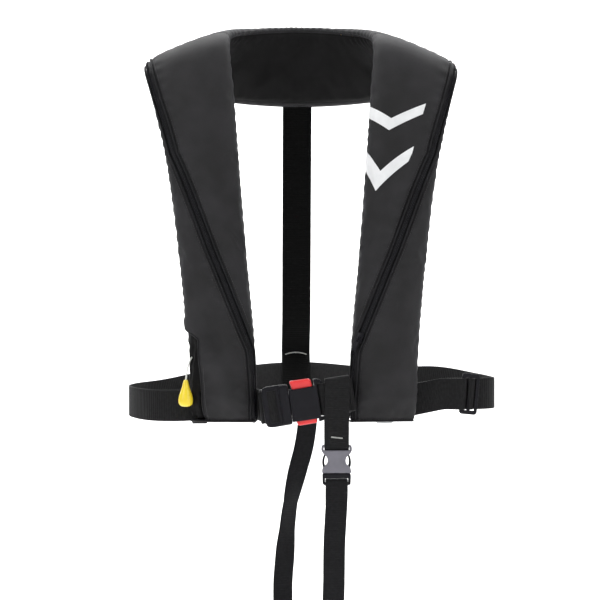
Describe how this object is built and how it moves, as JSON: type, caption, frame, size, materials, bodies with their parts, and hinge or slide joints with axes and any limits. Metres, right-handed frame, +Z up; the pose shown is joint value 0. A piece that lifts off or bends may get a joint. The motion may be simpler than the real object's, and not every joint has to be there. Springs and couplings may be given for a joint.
{
  "type": "inflatable life jacket",
  "caption": "Horseshoe inflatable life jacket with padded collar lobes, waist belt with side-squeeze buckle, crotch strap, inflator and pull toggle.",
  "frame": {"origin": "middle of the collar's neck edge at the back of the wearer's neck", "axes": "+Z up, +X to the wearer's left, +Y to the wearer's back; the wearer faces -Y"},
  "size_m": [0.4533, 0.2859, 0.8725],
  "materials": {
    "cover": "matt woven polyester",
    "lining": "matt woven lining",
    "zip_tape": "woven tape with moulded teeth",
    "webbing": "ribbed polyester webbing",
    "black_plastic": "satin moulded acetal",
    "grey_plastic": "satin moulded acetal",
    "red_plastic": "smooth moulded",
    "yellow_plastic": "smooth moulded",
    "thread_cord": "bonded thread and braided cord",
    "reflective": "retro-reflective tape",
    "coated_fabric": "polyurethane-coated, slight sheen",
    "steel": "plated",
    "rubber_seal": "matt"
  },
  "bodies": {
    "jacket": {"cover_inboard_left": "cover", "cover_outboard_left": "cover", "cover_inboard_right": "cover", "cover_outboard_right": "cover", "hem_left": "cover", "hem_right": "cover", "collar_outer": "cover", "collar_gusset": "cover", "lining_left": "lining", "lining_right": "lining", "collar_lining": "lining", "pocket_gusset": "lining", "zip_left": "zip_tape", "zip_right": "zip_tape", "zip_collar": "zip_tape", "waist_belt": "webbing", "belt_front_left": "webbing", "belt_loop_left": "webbing", "belt_loop_right": "webbing", "back_strap": "webbing", "crotch_loop": "webbing", "crotch_strap_rear": "webbing", "inflator_body": "black_plastic", "manifold_nut": "black_plastic", "oral_tube": "black_plastic", "main_socket": "black_plastic", "crotch_socket": "grey_plastic", "whistle": "yellow_plastic", "back_strap_tack": "thread_cord", "crotch_loop_tack": "thread_cord", "reflector_upper": "reflective", "reflector_lower": "reflective", "bladder": "coated_fabric", "lever_pivot_pin": "steel", "return_spring": "steel", "manifold_stem": "steel", "lobe_ring": "steel", "manifold_gasket": "rubber_seal"},
    "main_plug": {"main_plug": "black_plastic", "belt_front_right": "webbing"},
    "button_upper": {"release_button_upper": "red_plastic"},
    "button_lower": {"release_button_lower": "red_plastic"},
    "crotch_plug": {"crotch_plug": "black_plastic", "crotch_strap_front": "webbing"},
    "prong_left": {"crotch_prong_left": "black_plastic"},
    "prong_right": {"crotch_prong_right": "black_plastic"},
    "adjuster": {"belt_adjuster": "black_plastic", "belt_return": "webbing"},
    "toggle": {"pull_toggle": "yellow_plastic", "pull_cord": "thread_cord"},
    "lever": {"firing_lever": "red_plastic"},
    "pin": {"piercing_pin": "steel"},
    "cylinder": {"gas_cylinder": "steel"},
    "sensor": {"sensor_cap": "yellow_plastic"},
    "dust_cap": {"dust_cap": "yellow_plastic"},
    "oral_valve": {"oral_valve": "grey_plastic"},
    "slider": {"zip_slider": "steel"},
    "pull": {"zip_pull": "black_plastic"}
  },
  "joints": [
    {"name": "main_release", "type": "slide", "parent": "jacket", "child": "main_plug", "axis": [-0.989, 0, -0.1478], "range_m": [0, 0.03], "deforming": ["belt_front_right"]},
    {"name": "button_upper_press", "type": "slide", "parent": "main_plug", "child": "button_upper", "axis": [0.1478, 0, -0.989], "range_m": [0, 0.0025], "stiffness_N_per_m": 2500, "springref_m": -0.001},
    {"name": "button_lower_press", "type": "slide", "parent": "main_plug", "child": "button_lower", "axis": [-0.1478, 0, 0.989], "range_m": [0, 0.0025], "stiffness_N_per_m": 2500, "springref_m": -0.001},
    {"name": "crotch_release", "type": "slide", "parent": "jacket", "child": "crotch_plug", "axis": [0, 0, -1], "range_m": [0, 0.028]},
    {"name": "prong_left_squeeze", "type": "hinge", "parent": "crotch_plug", "child": "prong_left", "pos_m": [0.0478, -0.178, -0.5555], "axis": [0, -1, 0], "range_deg": [0, 6], "stiffness_Nm_per_rad": 0.6, "springref_deg": -1.72},
    {"name": "prong_right_squeeze", "type": "hinge", "parent": "crotch_plug", "child": "prong_right", "pos_m": [0.0292, -0.178, -0.5555], "axis": [0, 1, 0], "range_deg": [0, 6], "stiffness_Nm_per_rad": 0.6, "springref_deg": -1.72},
    {"name": "belt_adjust", "type": "slide", "parent": "jacket", "child": "adjuster", "axis": [-1, 0, 0], "range_m": [0, 0.02], "deforming": ["belt_return"]},
    {"name": "toggle_pull", "type": "slide", "parent": "jacket", "child": "toggle", "axis": [0, 0, -1], "range_m": [0, 0.03], "deforming": ["pull_cord"]},
    {"name": "lever_swing", "type": "hinge", "parent": "jacket", "child": "lever", "pos_m": [-0.1212, -0.148, -0.439], "axis": [0, -1, 0], "range_deg": [0, 75]},
    {"name": "pin_strike", "type": "slide", "parent": "jacket", "child": "pin", "axis": [0, 0, 1], "range_m": [0, 0.004], "deforming": ["return_spring"]},
    {"name": "cylinder_unscrew", "type": "hinge", "parent": "jacket", "child": "cylinder", "pos_m": [-0.099, -0.148, -0.437], "axis": [0, 0, 1], "continuous": true},
    {"name": "sensor_unscrew", "type": "hinge", "parent": "jacket", "child": "sensor", "pos_m": [-0.099, -0.148, -0.437], "axis": [0, 0, 1], "continuous": true},
    {"name": "dust_cap_pull", "type": "slide", "parent": "jacket", "child": "dust_cap", "axis": [0, 0, -1], "range_m": [0, 0.014]},
    {"name": "oral_valve_open", "type": "slide", "parent": "jacket", "child": "oral_valve", "axis": [0, 0, 1], "range_m": [0, 0.003], "stiffness_N_per_m": 200, "springref_m": -0.001},
    {"name": "zip_run", "type": "slide", "parent": "jacket", "child": "slider", "axis": [0.3645, -0.1342, 0.9215], "range_m": [0, 0.012]},
    {"name": "zip_pull_flip", "type": "hinge", "parent": "slider", "child": "pull", "pos_m": [0.06535, -0.16753, -0.39706], "axis": [-0.8427, 0.3735, 0.3877], "range_deg": [0, 100]}
  ],
  "couplings": [
    {"joint": "lever_swing", "follows": "toggle_pull", "rad_per_m": 43.575},
    {"joint": "pin_strike", "follows": "toggle_pull", "ratio": 0.1333}
  ]
}
